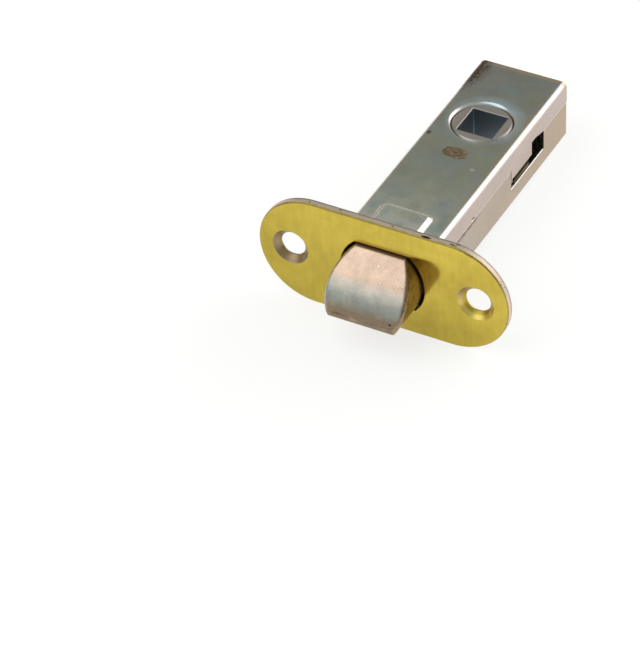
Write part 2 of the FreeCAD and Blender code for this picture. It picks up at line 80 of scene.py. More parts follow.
def tint(name, description, code):
    """A colour property."""
    return FloatVectorProperty(name=name, description=description, subtype="COLOR",
                               size=3, min=0.0, max=1.0, default=colour(code))


def length(name, description, value):
    """A length property, from millimetres."""
    return FloatProperty(name=name, description=description, unit="LENGTH", precision=5,
                         default=value * MM, min=0.0)


def angle(name, description, value):
    """An angle property, from degrees."""
    return FloatProperty(name=name, description=description, subtype="ANGLE",
                         default=math.radians(value))


JOINTS = {joint["name"]: joint for joint in frame["joints"]}

# Sizes from the CAD and the record, in millimetres.
FOREND_HALF = size("forend", 0)[1]
FOREND_BACK = size("forend", 1)[1]
ROUND_RADIUS = size("forend", 2)[1]
SCREW_PLACE = frame["record"]["mounts"][0]["dims"]["spacing_x_mm"] / 2
CASE_HALF = size("case_lower_shell", 0)[1]
CASE_END = size("case_lower_shell", 1)[1]
CASE_FLOOR = size("case_lower_shell", 2)[0]
CASE_CROWN = -CASE_FLOOR
NOSE_LOW, BOLT_TOP = size("latch_bolt", 2)
BRIDGE_MIDDLE = sum(size("spring_bridge", 1)) / 2
TAB_TOP = size("spring_bridge", 2)[1]
HUB_PLACE = JOINTS["follower_turn"]["pos_m"][1] / MM
FOLLOWER_TOP = size("follower", 2)[1]

# Sizes that the finishes need, in millimetres: where a countersink's cone starts and ends, how
# far the wall of the bolt's opening reaches, half the spindle's square, and the embossed pad.
SINK_INNER, SINK_OUTER = 2.7, 4.2
OPENING_REACH = 10.1
SQUARE_HALF = 4.0
PAD_MIDDLE, PAD_HALF, PAD_CORNER = (-0.3, 8.05, 0.0), (5.8, 5.05, 100.0), 1.6

# The stake: its shift to the left, half its length and width, how far it stands proud of the
# case and how far its foot lies below the top of the bridge's tab, in millimetres.
STAKE_SHIFT = -0.4
STAKE_HALVES = (2.75, 1.56)
STAKE_RISE, STAKE_FOOT = 0.24, 0.1

# Marks on the metal, and patches of painted light and shade, each with its middle and its
# half sizes, in millimetres.
EDGE_CHIPS = (((9.8, 0.6, ROUND_RADIUS), (1.35, 0.4, 0.6)),
              ((15.6, 0.7, ROUND_RADIUS), (0.8, 0.2, 0.6)),
              ((2.3, 0.9, ROUND_RADIUS), (0.35, 0.18, 0.6)),
              ((-9.5, 1.0, ROUND_RADIUS), (0.4, 0.14, 0.6)))
# Painted shade: a soft darker patch on the brass towards its lower right.
BRASS_PAINTED_SHADE = (14.0, 0.0, -11.0), (10.0, 50.0, 7.0)
# Painted highlight: a bluish sheen round the hub collar, reaching further over its far side.
HUB_SHEEN = (0.4, HUB_PLACE + 0.7, CASE_CROWN), (8.9, 8.9, 4.0)
CORNER_STAIN = (-CASE_HALF, CASE_END - 3.5, CASE_CROWN), (5.4, 13.0, 2.4)
FOLD_RUB = (CASE_HALF - 1.3, 39.0, CASE_CROWN), (0.75, 29.0, 0.5)
EDGE_STAIN = (-8.4, 38.0, CASE_CROWN), (0.7, 1.0, 0.6)
SEAM_DIRT = (CASE_HALF, 17.0, 1.6), (4.0, 14.0, 0.9)
SCUFF = (5.3, 30.3, CASE_CROWN), (0.75, 0.55, 0.5)
# Where the blisters lie, with painted glints on their tops and painted dark rims.
BLISTER_GLINTS = (3.0, -3.0, 4.4), (8.5, 5.0, 3.6)
NOSE_PIT = (6.6, -9.4, -3.5), (0.42, 0.6, 0.42)
# Painted highlight: a line down the square's corner.
BORE_CORNER_HIGHLIGHT = (-SQUARE_HALF, HUB_PLACE + SQUARE_HALF, 0.0), (0.4, 0.4, 10000.0)

# The stage: the camera's sensor in millimetres, half the floor and the point that the lamps aim
# at in metres, and how much of the light of the floor that the camera sees is its own.
SENSOR_WIDTH = 36.0
FLOOR_HALF = 2.5
LAMP_AIM = (0.0, 0.02, 0.0)
PAPER_LEVEL, PAPER_GLOW = 0.42, 0.74

# Softboxes: name, direction from the latch, distance and size in metres, radiance.
LAMPS = (
    ("front_softbox", (-0.38, -0.405, 0.83), 1.0, (0.8, 1.2), 1.0),
    ("rear_softbox", (0.48, 0.7, 0.46), 1.1, (0.95, 0.9), 1.5),
)


class LatchFinish(bpy.types.PropertyGroup):
    """Colours and grain of the latch's metals."""
    brass: tint("Brass", "Satin brass plating on the forend", "#CFB84E")
    brass_dark: tint("Brass, worn", "Darker brass where the plating is thin", "#BDA646")
    brass_roll: tint("Rolled edge", "Plating on the edge that the die rolled over", "#B09C5C")
    shear: tint("Burnished edge", "Bright band that the punch left on the edge", "#E8D4C0")
    fracture: tint("Fracture band", "Dull torn band behind the burnished one", "#B4A49A")
    opening: tint("Opening's wall", "Browned wall of the bolt's opening", "#B08C6C")
    sink: tint("Countersink", "Bare steel cut by the countersink", "#A8927C")
    # Partly plating, partly a painted highlight low in the right countersink.
    sink_plating_glint: tint("Countersink, plated", "Plating low in the right countersink", "#FFE678")
    zinc: tint("Zinc", "Bright zinc on the case near the forend", "#EAE7DC")
    zinc_mid: tint("Zinc, middle", "Bright zinc half way along the case", "#BEBCAF")
    zinc_far: tint("Zinc, far end", "Duller zinc round the follower", "#AFABA3")
    zinc_olive: tint("Zinc, olive film", "Passivate where it lies thicker", "#B9B294")
    zinc_blue: tint("Zinc, blue film", "Passivate where it lies thinner", "#A9B8BE")
    # Painted highlight along the folds where the top turns to the sides.
    zinc_bend_highlight: tint("Zinc, bends", "Plating that the fold stretched and brightened", "#E2DAD7")
    # Near-white: a painted highlight on the pad's lines, and the colour of one real scuff.
    burnished: tint("Burnished zinc", "Plating on the line that the tool rubbed", "#FFFAF4")
    # Painted highlight: the bluish sheen round the hub collar.
    zinc_hub_sheen: tint("Zinc, hub", "Bluer film round the rolled hub collar", "#D2E2EC")
    # Side tints: partly the passivate film's colour, partly a painted reflection on the faces that look sideways.
    zinc_side: tint("Zinc, upper sides", "Mauve film on the upper shell's sides", "#C2B0A6")
    zinc_base: tint("Zinc, lower sides", "Creamy film on the lower shell's sides", "#B6A99B")
    zinc_low: tint("Zinc, lower sides, far", "Creamier film towards the far end", "#B8A086")
    zinc_end: tint("Zinc, cut end", "Rubbed tan film along the cut end and a fold", "#CDB49C")
    stain: tint("Stain", "Brown stain at the far end, the edges and the seam", "#5E4632")
    bolt: tint("Bolt", "Satin plating of the bolt", "#E2C5B1")
    bolt_cool: tint("Bolt, cool", "Cooler band half way down the bolt's bevel", "#C6CAC4")
    # Painted light: the palest band, where light falls on the bevel just below the cream.
    bolt_pale_light: tint("Bolt, pale", "Palest band, where the cream turns to grey", "#D9D2C8")
    bolt_nose: tint("Bolt, nose face", "Worn flat along the bolt's nose", "#92806A")
    bolt_low: tint("Bolt, nose", "Rubbed brown plating at the bolt's nose", "#BAAA94")
    bolt_side: tint("Bolt side", "Thinner plating on the bolt's sides", "#AC9474")
    pit: tint("Pits", "Dirt in the pits of the casting", "#3A2A20")
    # Brown of the painted dark rims round the blisters and of the flat behind the bevel, partly dirt and partly
    # painted shade.
    grime_and_shade: tint("Grime", "Brown dirt that the opening rubs onto the bolt", "#927660")
    # Painted highlight: the glints on the blisters' tops.
    blister_glint: tint("Blisters", "Bare bright tops of the blisters in the plating", "#FFF8EE")
    follower: tint("Follower", "Sintered steel of the follower", "#C0B5AE")
    # Painted shade: the square's walls, darker and bluer than the follower.
    bore: tint("Square bore", "Unpolished wall of the square", "#8E9AA2")
    # Painted highlight down the square's corner.
    bore_corner_highlight: tint("Square's corner", "Line that the broach burnished", "#B8C6D0")
    bore_edge: tint("Square's edge", "Chamfer round the square", "#968E8A")
    oiled: tint("Oiled steel", "Plain steel inside the case", "#8A7B69")
    wire: tint("Spring wire", "Drawn wire", "#5A5A5C")
    stake: tint("Stake", "Peened end of the bridge", "#AA947A")
    stake_dark: tint("Stake, hollows", "Dirt in the hollows that peening left", "#6A5038")
    brush_pitch: length("Brushing pitch", "Distance between brushing lines", 0.12)
    grain: length("Casting grain", "Size of the grain on the bolt's nose", 0.35)


class LatchStage(bpy.types.PropertyGroup):
    """The camera and the light."""
    azimuth: angle("Azimuth", "Camera's turn about the latch", 29.78)
    elevation: angle("Elevation", "Camera's height over the floor", 40.11)
    roll: angle("Roll", "Camera's roll about its line of sight", -2.72)
    distance: length("Distance", "From the camera to its target", 723.2)
    target: FloatVectorProperty(name="Target", description="The point that the camera looks at",
                                subtype="XYZ", unit="LENGTH", precision=5, size=3,
                                default=[value * MM for value in (-7.62, -12.7, -7.64)])
    lens: FloatProperty(name="Lens", description="Focal length on a 36 mm sensor",
                        unit="CAMERA", default=196.8, min=1.0)
    floor: tint("Floor", "Pale floor", "#F4F4F2")
    low_sky: tint("Studio, low", "Light of the studio near the floor", "#A89C90")
    high_sky: tint("Studio, high", "Light of the studio overhead", "#A3A9A4")


def feed(made, inputs):
    """Gives a node its inputs, in order or by name: values, colours, or sockets to link. A node
    stands for its first output in use."""
    for key, source in (inputs.items() if isinstance(inputs, dict) else enumerate(inputs)):
        socket = made.inputs[key] if key not in ("A", "B") else next(
            entry for entry in made.inputs if entry.name == key and entry.enabled)
        if isinstance(source, bpy.types.Node):
            source = next(output for output in source.outputs if output.enabled)
        if isinstance(source, bpy.types.NodeSocket):
            made.id_data.links.new(source, socket)
        elif socket.type == "RGBA":
            socket.default_value = (*source[:3], 1.0)
        else:
            socket.default_value = source


def add_node(tree, kind, inputs=(), **settings):
    """Adds a shader node with its settings and inputs."""
    made = tree.nodes.new("ShaderNode" + kind)
    for name, value in settings.items():
        setattr(made, name, value)
    feed(made, inputs)
    return made


def ramp_stops(made, stops):
    """Sets a colour ramp's stops, each a place and a colour."""
    elements = made.color_ramp.elements
    while len(elements) < len(stops):
        elements.new(1.0)
    for element, (place, shade) in zip(elements, stops):
        element.position = place
        element.color = (*shade[:3], 1.0)


def grey(level):
    """A grey, from its level."""
    return level, level, level


def start_material(name, **sockets):
    """An empty metal with its place in millimetres. Returns material, tree, shader, place."""
    material = bpy.data.materials.new(name)
    material.use_nodes = True
    tree = material.node_tree
    tree.nodes.clear()
    shader = add_node(tree, "BsdfPrincipled", dict({"Metallic": 1.0}, **sockets))
    add_node(tree, "OutputMaterial", (shader,))
    coordinates = add_node(tree, "TexCoord")
    place = add_node(tree, "VectorMath", {
        0: coordinates.outputs["Object"], "Scale": 1 / MM}, operation="SCALE")
    return material, tree, shader, place


def streaks(tree, place, pitch, run):
    """Fine lines: noise that is stretched along run, a vector of real sizes in millimetres."""
    stretch = add_node(tree, "VectorMath", (
        place, [1 / (pitch * part) for part in run]), operation="MULTIPLY")
    return add_node(tree, "TexNoise", {
        "Vector": stretch, "Scale": 1.0, "Detail": 3.0, "Roughness": 0.6})


def spread(tree, place, mark, core, least=0.0, most=1.0):
    """Goes from least at the rim of a mark to most inside its core, a share of its size."""
    middle, halves = mark
    offset = add_node(tree, "VectorMath", (place, middle), operation="SUBTRACT")
    share = add_node(tree, "VectorMath", (offset, halves), operation="DIVIDE")
    reach = add_node(tree, "VectorMath", (share,), operation="LENGTH")
    return add_node(tree, "MapRange", (reach, 1.0, core, least, most))


def sideways(tree):
    """How far a surface faces to the left or right, from 0 to 1."""
    facing = add_node(tree, "NewGeometry")
    turn = add_node(tree, "SeparateXYZ", (facing.outputs["Normal"],))
    return add_node(tree, "Math", (turn.outputs["X"],), operation="ABSOLUTE")


def finish_forend(look):
    """Steel strip with satin brass plating, brushed, blanked: lemon-yellow satin with fine
    lines across the plate, a dark rolled edge, then a bright sheared and a dull torn band."""
    material, tree, shader, place = start_material("satin_brass_plated_steel", Anisotropic=0.4)
    axes = add_node(tree, "SeparateXYZ", (place,))
    brushing = streaks(tree, place, look.brush_pitch / MM, (1.0, 1.0, 60.0))
    wear = add_node(tree, "MapRange", (
        add_node(tree, "TexNoise", {
            "Vector": place, "Scale": 1 / 11.0, "Detail": 3.0, "Roughness": 0.6}),
        0.42, 0.74))
    plating = add_node(tree, "Mix", {
        "Factor": wear, "A": look.brass, "B": look.brass_dark}, data_type="RGBA")
    coarse = streaks(tree, place, 0.9, (1.0, 1.0, 9.0))
    blotches = add_node(tree, "TexNoise", {
        "Vector": place, "Scale": 1 / 2.4, "Detail": 4.0, "Roughness": 0.6})
    # The brushing, the coarse lines and the blotches vary the plating's tone; the rest is painted light and shade:
    # darker towards the plate's bottom, darker at its left end and lighter at its right, and a painted shade patch
    # at the lower right.
    for light in (
            add_node(tree, "MapRange", (brushing, 0.3, 0.7, 0.95, 1.04)),
            add_node(tree, "MapRange", (coarse, 0.35, 0.65, 0.96, 1.03)),
            add_node(tree, "MapRange", (blotches, 0.35, 0.65, 0.95, 1.03)),
            add_node(tree, "MapRange", (
                axes.outputs["Z"], -ROUND_RADIUS, ROUND_RADIUS, 0.82, 1.06)),
            add_node(tree, "MapRange", (
                axes.outputs["X"], -FOREND_HALF, FOREND_HALF, 0.93, 1.05)),
            spread(tree, place, BRASS_PAINTED_SHADE, 0.2, 1.0, 0.88)):
        plating = add_node(tree, "VectorMath", {0: plating, "Scale": light}, operation="SCALE")

    # The distance from the plate's middle line tells its outer edge from its faces.
    reach = add_node(tree, "Math", (axes.outputs["X"],), operation="ABSOLUTE")
    past = add_node(tree, "Math", (reach, FOREND_HALF - ROUND_RADIUS), operation="SUBTRACT")
    along = add_node(tree, "Math", (past, 0.0), operation="MAXIMUM")
    flat = add_node(tree, "CombineXYZ", {"X": along, "Y": axes.outputs["Z"]})
    radius = add_node(tree, "VectorMath", (flat,), operation="LENGTH")
    ragged = add_node(tree, "TexNoise", {
        "Vector": place, "Scale": 1 / 0.9, "Detail": 4.0, "Roughness": 0.6})
    depth = add_node(tree, "Math", (ragged, 0.5, axes.outputs["Y"]), operation="MULTIPLY_ADD")
    bands = add_node(tree, "ValToRGB", (
        add_node(tree, "MapRange", (depth, 0.25, FOREND_BACK + 0.25)),))
    ramp_stops(bands, [
        (0.0, look.brass_roll), (0.16, look.brass_roll),
        (0.24, look.shear), (0.72, look.shear),
        (0.82, look.fracture), (1.0, look.fracture)])
    rim = add_node(tree, "MapRange", (radius, ROUND_RADIUS - 0.3, ROUND_RADIUS - 0.12))
    chips = add_node(tree, "MapRange", (
        add_node(tree, "TexNoise", {
            "Vector": place, "Scale": 1 / 1.6, "Detail": 3.0, "Roughness": 0.7}),
        0.66, 0.7))
    for mark in EDGE_CHIPS:
        chips = add_node(tree, "Math", (
            chips, spread(tree, place, mark, 0.6)), operation="MAXIMUM")
    edge = add_node(tree, "Mix", {"Factor": chips, "A": bands, "B": look.pit}, data_type="RGBA")

    # The countersinks are bare steel, the left one browned further in, the right one plated
    # low down and painted brighter there as a highlight.
    screw = add_node(tree, "Math", (reach, SCREW_PLACE), operation="SUBTRACT")
    around = add_node(tree, "CombineXYZ", {"X": screw, "Y": axes.outputs["Z"]})
    hole = add_node(tree, "VectorMath", (around,), operation="LENGTH")
    cone = add_node(tree, "ValToRGB", (
        add_node(tree, "MapRange", (hole, SINK_INNER, SINK_OUTER)),))
    ramp_stops(cone, [(0.0, grey(0.0)), (0.3, grey(0.1)), (0.55, grey(1.0)),
                      (0.86, grey(0.9)), (0.93, grey(0.0))])
    plated = add_node(tree, "Math", (
        add_node(tree, "MapRange", (axes.outputs["X"], 0.0, 1.0)),
        add_node(tree, "MapRange", (axes.outputs["Z"], 1.5, -2.5, 0.0, 0.9))),
        operation="MULTIPLY")
    sink = add_node(tree, "Mix", {
        "Factor": plated, "A": look.sink, "B": look.sink_plating_glint}, data_type="RGBA")
    browned = add_node(tree, "Math", (
        add_node(tree, "MapRange", (axes.outputs["X"], 1.0, 0.0)),
        add_node(tree, "MapRange", (hole, 3.5, 3.1, 0.0, 0.85))), operation="MULTIPLY")
    sunk = add_node(tree, "Math", (cone, browned), operation="MAXIMUM")

    # The wall of the bolt's opening is bare and browned.
    across = add_node(tree, "CombineXYZ", {"X": axes.outputs["X"], "Y": axes.outputs["Z"]})
    mouth = add_node(tree, "Math", (
        add_node(tree, "MapRange", (axes.outputs["Y"], 0.1, 0.25)),
        add_node(tree, "MapRange", (
            add_node(tree, "VectorMath", (across,), operation="LENGTH"), OPENING_REACH,
            OPENING_REACH - 0.2))), operation="MULTIPLY")
    final = plating
    for amount, shade in ((rim, edge), (sunk, sink), (mouth, look.opening)):
        final = add_node(tree, "Mix", {
            "Factor": amount, "A": final, "B": shade}, data_type="RGBA")
    satin = add_node(tree, "MapRange", (brushing, 0.0, 1.0, 0.08, 0.16))
    drilled = add_node(tree, "MapRange", (hole, SINK_OUTER, SINK_OUTER - 0.15))
    bare = add_node(tree, "Math", (drilled, mouth), operation="MAXIMUM")
    turned = add_node(tree, "Mix", {"Factor": bare, 2: satin, 3: 0.4})
    rough = add_node(tree, "Mix", {"Factor": rim, 2: turned, 3: 0.5})
    feed(shader, {
        "Base Color": final, "Roughness": rough,
        "Normal": add_node(tree, "Bump", {
            "Height": brushing, "Strength": 0.05, "Distance": 0.02 * MM})})
    return material


def finish_case(name, look, sides, sides_far):
    """Mild steel strip, folded and zinc plated bright: smooth grey satin that dulls towards
    the far end, a tint on the sides that is partly the film and partly a painted reflection,
    a painted highlight along the folds, a painted sheen round the hub collar and painted
    highlights on the pad's lines, brown stains at the far corner and the seam. The sides'
    colour changes from sides at the forend to sides_far at the end."""
    material, tree, shader, place = start_material(name)
    axes = add_node(tree, "SeparateXYZ", (place,))
    cloud = add_node(tree, "TexNoise", {
        "Vector": place, "Scale": 1 / 6.0, "Detail": 4.0, "Roughness": 0.6})
    plated = add_node(tree, "ValToRGB", (
        add_node(tree, "MapRange", (axes.outputs["Y"], FOREND_BACK, CASE_END)),))
    ramp_stops(plated, [(0.06, look.zinc), (0.34, look.zinc_mid), (0.85, look.zinc_far)])
    turned = sideways(tree)
    # Painted reflection: the faces that look sideways get their own tint, partly the film's colour.
    side = add_node(tree, "MapRange", (turned, 0.8, 0.99))
    film = add_node(tree, "Mix", {
        "Factor": add_node(tree, "MapRange", (axes.outputs["Y"], FOREND_BACK + 8.0, CASE_END)),
        "A": sides, "B": sides_far}, data_type="RGBA")
    # Painted light: a bluish sheen round the hub collar and a highlight along the folds; then the side tint.
    for amount, shade in (
            (spread(tree, place, HUB_SHEEN, 0.72, 0.0, 0.8), look.zinc_hub_sheen),
            (add_node(tree, "MapRange", (turned, 0.2, 0.5)), look.zinc_bend_highlight),
            (side, film)):
        plated = add_node(tree, "Mix", {
            "Factor": amount, "A": plated, "B": shade}, data_type="RGBA")

    # Two films lie in clouds on the flat faces only.
    filmed = plated
    for cloud_size, start, full, shade in (
            (4.5, 0.48, 0.7, look.zinc_olive), (5.5, 0.5, 0.34, look.zinc_blue)):
        patches = add_node(tree, "TexNoise", {
            "Vector": place, "Scale": 1 / cloud_size, "Detail": 3.0, "Roughness": 0.6})
        filmed = add_node(tree, "Mix", {
            "Factor": add_node(tree, "MapRange", (patches, start, full, 0.0, 0.5)),
            "A": filmed, "B": shade}, data_type="RGBA")
    flat = add_node(tree, "Mix", {
        "Factor": add_node(tree, "MapRange", (turned, 0.1, 0.3)), "A": filmed,
        "B": plated}, data_type="RGBA")
    clouded = add_node(tree, "VectorMath", {
        0: flat,
        "Scale": add_node(tree, "MapRange", (cloud, 0.3, 0.7, 0.92, 1.05))}, operation="SCALE")

    # Painted highlight: near-white lines along the foot and the brow of the embossed pad, where
    # its bends catch the light; the same lines are raised a little in the bump.
    offset = add_node(tree, "VectorMath", (place, PAD_MIDDLE), operation="SUBTRACT")
    away = add_node(tree, "VectorMath", (offset,), operation="ABSOLUTE")
    past = add_node(tree, "VectorMath", (
        away, [half - PAD_CORNER for half in PAD_HALF]), operation="SUBTRACT")
    excess = add_node(tree, "VectorMath", (past, (0.0, 0.0, 0.0)), operation="MAXIMUM")
    rounded = add_node(tree, "VectorMath", (excess,), operation="LENGTH")
    pad_ridges_and_highlight = add_node(tree, "ValToRGB", (
        add_node(tree, "MapRange", (rounded, PAD_CORNER - 1.4, PAD_CORNER + 0.6)),))
    ramp_stops(pad_ridges_and_highlight, [(0.08, grey(0.0)), (0.22, grey(0.7)), (0.34, grey(0.0)),
                         (0.58, grey(0.0)), (0.7, grey(1.0)), (0.84, grey(0.0))])
    speckle = add_node(tree, "TexNoise", {
        "Vector": place, "Scale": 1 / 0.7, "Detail": 4.0, "Roughness": 0.6})
    pad_highlight = pad_ridges_and_highlight
    for part in (
            add_node(tree, "MapRange", (speckle, 0.35, 0.6, 0.3, 1.0)),
            add_node(tree, "MapRange", (
                axes.outputs["Z"], CASE_CROWN - 0.1, CASE_CROWN - 0.02))):
        pad_highlight = add_node(tree, "Math", (pad_highlight, part), operation="MULTIPLY")

    # Stains: the far left corner, one spot by the left edge, and dirt along the seam.
    seam = add_node(tree, "Math", (
        side, spread(tree, place, SEAM_DIRT, 0.4, 0.0, 0.55)), operation="MULTIPLY")
    stains = spread(tree, place, CORNER_STAIN, 0.1)
    for part in (spread(tree, place, EDGE_STAIN, 0.3), seam):
        stains = add_node(tree, "Math", (stains, part), operation="MAXIMUM")
    stained = add_node(tree, "MapRange", (
        add_node(tree, "Math", (stains, speckle), operation="MULTIPLY"), 0.14, 0.4, 0.0, 0.9))

    # The cut end and the right fold are tan from rubbing, and one scuff is bright.
    lip = add_node(tree, "Math", (
        add_node(tree, "MapRange", (axes.outputs["Y"], CASE_END - 1.3, CASE_END - 0.7)),
        add_node(tree, "MapRange", (
            axes.outputs["Z"], CASE_CROWN - 1.4, CASE_CROWN - 0.9))), operation="MULTIPLY")
    fold = add_node(tree, "Math", (
        speckle, spread(tree, place, FOLD_RUB, 0.3)), operation="MULTIPLY")
    tanned = add_node(tree, "Math", (lip, fold), operation="MAXIMUM")
    # The pad's lines get their painted highlight first; then the tan wear, the scuff and the stains.
    final = clouded
    for amount, shade in (
            (pad_highlight, look.burnished), (tanned, look.zinc_end),
            (spread(tree, place, SCUFF, 0.3, 0.0, 0.5), look.burnished), (stained, look.stain)):
        final = add_node(tree, "Mix", {
            "Factor": amount, "A": final, "B": shade}, data_type="RGBA")
    dull = add_node(tree, "Math", (stained, pad_highlight), operation="MAXIMUM")
    rough = add_node(tree, "Mix", {
        "Factor": dull, 2: add_node(tree, "MapRange", (cloud, 0.3, 0.7, 0.22, 0.3)), 3: 0.6})
    height = add_node(tree, "Math", (pad_ridges_and_highlight, 8.0, cloud), operation="MULTIPLY_ADD")
    feed(shader, {
        "Base Color": final, "Roughness": rough,
        "Normal": add_node(tree, "Bump", {
            "Height": height, "Strength": 0.2, "Distance": 0.05 * MM})})
    return material


def finish_bolt(look):
    """Die-cast zinc alloy, plated satin: cream on the bevel's upper half with fine pits and
    painted sparkles, a painted pale band of light below the cream, a cooler band lower down,
    a darker brown band along the nose, olive-brown sides."""
    material, tree, shader, place = start_material("satin_plated_zinc_casting")
    axes = add_node(tree, "SeparateXYZ", (place,))
    facing = add_node(tree, "SeparateXYZ", (add_node(tree, "NewGeometry").outputs["Normal"],))
    side = add_node(tree, "Math", (
        add_node(tree, "MapRange", (sideways(tree), 0.55, 0.85)),
        add_node(tree, "MapRange", (facing.outputs["X"], 0.25, 0.5))), operation="MAXIMUM")
    grain = add_node(tree, "TexNoise", {
        "Vector": place, "Scale": 1 / (look.grain / MM), "Detail": 4.0, "Roughness": 0.7})
    brushing = streaks(tree, place, 0.25, (1.0, 14.0, 14.0))
    patches = add_node(tree, "TexNoise", {
        "Vector": place, "Scale": 1 / 1.8, "Detail": 4.0, "Roughness": 0.6})
    uneven = add_node(tree, "Math", (patches, 1.2, axes.outputs["Z"]), operation="MULTIPLY_ADD")
    bands = add_node(tree, "ValToRGB", (
        add_node(tree, "MapRange", (uneven, NOSE_LOW + 0.6, BOLT_TOP + 0.6)),))
    # Colour bands by height, darker towards the nose; the pale band is painted light.
    ramp_stops(bands, [
        (0.0, look.bolt_nose), (0.1, look.bolt_nose),
        (0.14, look.bolt_low), (0.2, look.bolt_low),
        (0.32, look.bolt_cool), (0.43, look.bolt_cool),
        (0.52, look.bolt_pale_light), (0.58, look.bolt_pale_light),
        (0.68, look.bolt)])
    flank = add_node(tree, "Mix", {
        "Factor": add_node(tree, "MapRange", (
            add_node(tree, "TexNoise", {
                "Vector": place, "Scale": 1 / 1.2, "Detail": 4.0, "Roughness": 0.6}),
            0.5, 0.7, 0.0, 0.6)),
        "A": look.bolt_side, "B": look.pit}, data_type="RGBA")
    sided = add_node(tree, "Mix", {"Factor": side, "A": bands, "B": flank}, data_type="RGBA")
    broad = add_node(tree, "TexNoise", {
        "Vector": place, "Scale": 1 / 4.0, "Detail": 2.0, "Roughness": 0.6})
    for light in (
            add_node(tree, "MapRange", (patches, 0.3, 0.7, 0.88, 1.06)),
            add_node(tree, "MapRange", (broad, 0.35, 0.65, 0.94, 1.04)),
            add_node(tree, "MapRange", (axes.outputs["X"], -8.0, 8.0, 1.03, 0.95)),
            add_node(tree, "MapRange", (grain, 0.3, 0.7, 0.87, 1.08)),
            add_node(tree, "MapRange", (brushing, 0.3, 0.7, 0.94, 1.05))):
        sided = add_node(tree, "VectorMath", {0: sided, "Scale": light}, operation="SCALE")

    # Blisters cluster at the bevel's upper right, their tops painted bright as glints and their
    # rims painted dark as shade; one pit is by the nose, and the flat behind the bevel is painted
    # brown, partly dirt and partly painted shade.
    cells = add_node(tree, "TexVoronoi", {"Vector": place, "Scale": 0.8})
    chosen = add_node(tree, "SeparateColor", (cells.outputs["Color"],))
    wanted = spread(tree, place, BLISTER_GLINTS, 0.8)
    for part in (
            add_node(tree, "MapRange", (chosen, 0.3, 0.4)),
            add_node(tree, "MapRange", (side, 0.2, 0.0)),
            add_node(tree, "MapRange", (grain, 0.3, 0.5, 0.4, 1.0))):
        wanted = add_node(tree, "Math", (wanted, part), operation="MULTIPLY")
    blisters, rings = (
        add_node(tree, "Math", (
            wanted, add_node(tree, "MapRange", (
                cells.outputs["Distance"], rim, core, 0.0, most))), operation="MULTIPLY")
        for rim, core, most in ((0.25, 0.1, 1.0), (0.36, 0.22, 0.35)))
    hollow = spread(tree, place, NOSE_PIT, 0.5)
    top = add_node(tree, "MapRange", (axes.outputs["Z"], BOLT_TOP - 0.12, BOLT_TOP - 0.01))
    final = sided
    for amount, shade in (
            (rings, look.grime_and_shade), (blisters, look.blister_glint),
            (spread(tree, place, NOSE_PIT, 0.5, 0.0, 0.85), look.pit), (top, look.grime_and_shade)):
        final = add_node(tree, "Mix", {
            "Factor": amount, "A": final, "B": shade}, data_type="RGBA")
    rough = add_node(tree, "Mix", {
        "Factor": top, 2: add_node(tree, "MapRange", (brushing, 0.0, 1.0, 0.26, 0.42)), 3: 0.7})
    height = add_node(tree, "Math", (grain, 0.5, brushing), operation="MULTIPLY_ADD")
    for sunk, deep in ((blisters, 1.6), (hollow, -4.0)):
        height = add_node(tree, "Math", (sunk, deep, height), operation="MULTIPLY_ADD")
    feed(shader, {
        "Base Color": final, "Roughness": rough,
        "Normal": add_node(tree, "Bump", {
            "Height": height, "Strength": 0.35, "Distance": 0.04 * MM})})
    return material


def finish_follower(look):
    """Sintered steel, sized and oiled: grey-brown satin with fine pores; inside the square it is
    painted darker and bluer as shade, painted lighter on the walls that face left and right,
    with a painted highlight down the square's corner."""
    material, tree, shader, place = start_material("sintered_steel")
    axes = add_node(tree, "SeparateXYZ", (place,))
    pores = add_node(tree, "TexNoise", {
        "Vector": place, "Scale": 1 / 0.25, "Detail": 4.0, "Roughness": 0.7})
    # Painted shade: below the top face the square's walls take the darker bore colour, painted lighter on the
    # walls that face left and right, with a painted highlight down one corner.
    height = add_node(tree, "Math", (axes.outputs["Z"],), operation="ABSOLUTE")
    deep = add_node(tree, "MapRange", (height, FOLLOWER_TOP - 0.05, FOLLOWER_TOP - 0.45))
    wall = add_node(tree, "Mix", {
        "Factor": add_node(tree, "MapRange", (sideways(tree), 0.5, 0.9, 0.0, 0.45)),
        "A": look.bore, "B": look.follower}, data_type="RGBA")
    bore = add_node(tree, "Mix", {
        "Factor": spread(tree, place, BORE_CORNER_HIGHLIGHT, 0.4), "A": wall,
        "B": look.bore_corner_highlight}, data_type="RGBA")
    offset = add_node(tree, "VectorMath", (
        add_node(tree, "VectorMath", (
            place, (0.0, HUB_PLACE, 0.0)), operation="SUBTRACT"),), operation="ABSOLUTE")
    sides = add_node(tree, "SeparateXYZ", (offset,))
    reach = add_node(tree, "Math", (
        sides.outputs["X"], sides.outputs["Y"]), operation="MAXIMUM")
    face = add_node(tree, "Mix", {
        "Factor": add_node(tree, "MapRange", (reach, SQUARE_HALF + 0.35, SQUARE_HALF + 0.25)),
        "A": look.follower, "B": look.bore_edge}, data_type="RGBA")
    metal = add_node(tree, "Mix", {"Factor": deep, "A": face, "B": bore}, data_type="RGBA")
    final = add_node(tree, "VectorMath", {
        0: metal,
        "Scale": add_node(tree, "MapRange", (pores, 0.3, 0.7, 0.88, 1.06))}, operation="SCALE")
    feed(shader, {
        "Base Color": final,
        "Roughness": add_node(tree, "MapRange", (pores, 0.0, 1.0, 0.3, 0.48)),
        "Normal": add_node(tree, "Bump", {
            "Height": pores, "Strength": 0.15, "Distance": 0.02 * MM})})
    return material


